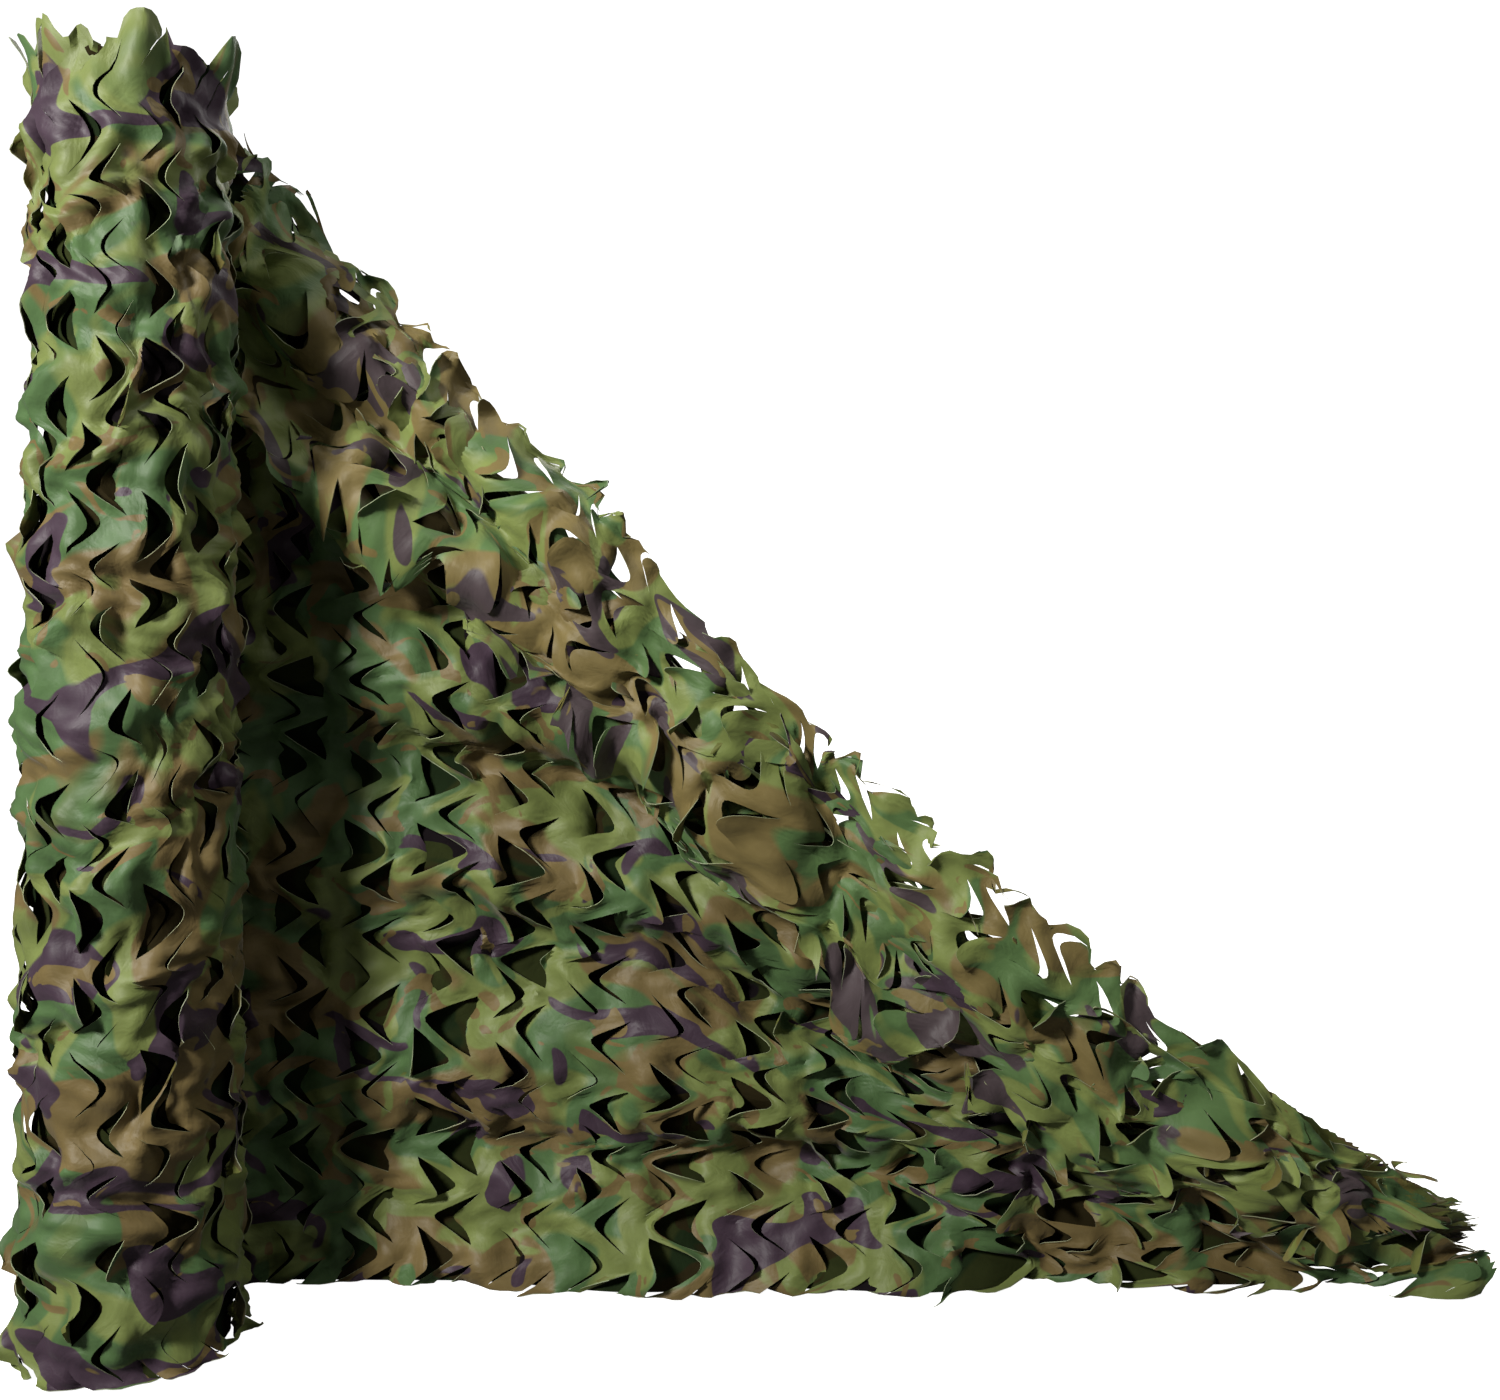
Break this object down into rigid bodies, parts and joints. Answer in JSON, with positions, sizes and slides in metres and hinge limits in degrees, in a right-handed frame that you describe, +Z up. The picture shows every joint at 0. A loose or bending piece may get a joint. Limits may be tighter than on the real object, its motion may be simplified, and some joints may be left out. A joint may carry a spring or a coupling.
{
  "type": "camouflage net on a roll with a drawn-out loose end",
  "caption": "Leaf-cut woodland netting wound on end as a roll, its loose end drawn out sideways and sinking in pleats to a low bunched tip.",
  "frame": {"origin": "middle of the whole footprint, on the surface that the roll and the hem stand on", "axes": "+Z up along the roll, +X from the roll towards the cut end of the drawn-out sheet, -Y towards the side that the picture shows"},
  "size_m": [1.8092, 0.4204, 1.5002],
  "materials": {
    "rolled_netting": "satin printed polyester in mid green, olive, brown and near-black patches, leaf-cut",
    "drawn_out_netting": "satin printed polyester in mid green, olive, brown and near-black patches, leaf-cut"
  },
  "bodies": {
    "root": {"roll": "rolled_netting", "loose_end": "drawn_out_netting"}
  },
  "joints": []
}
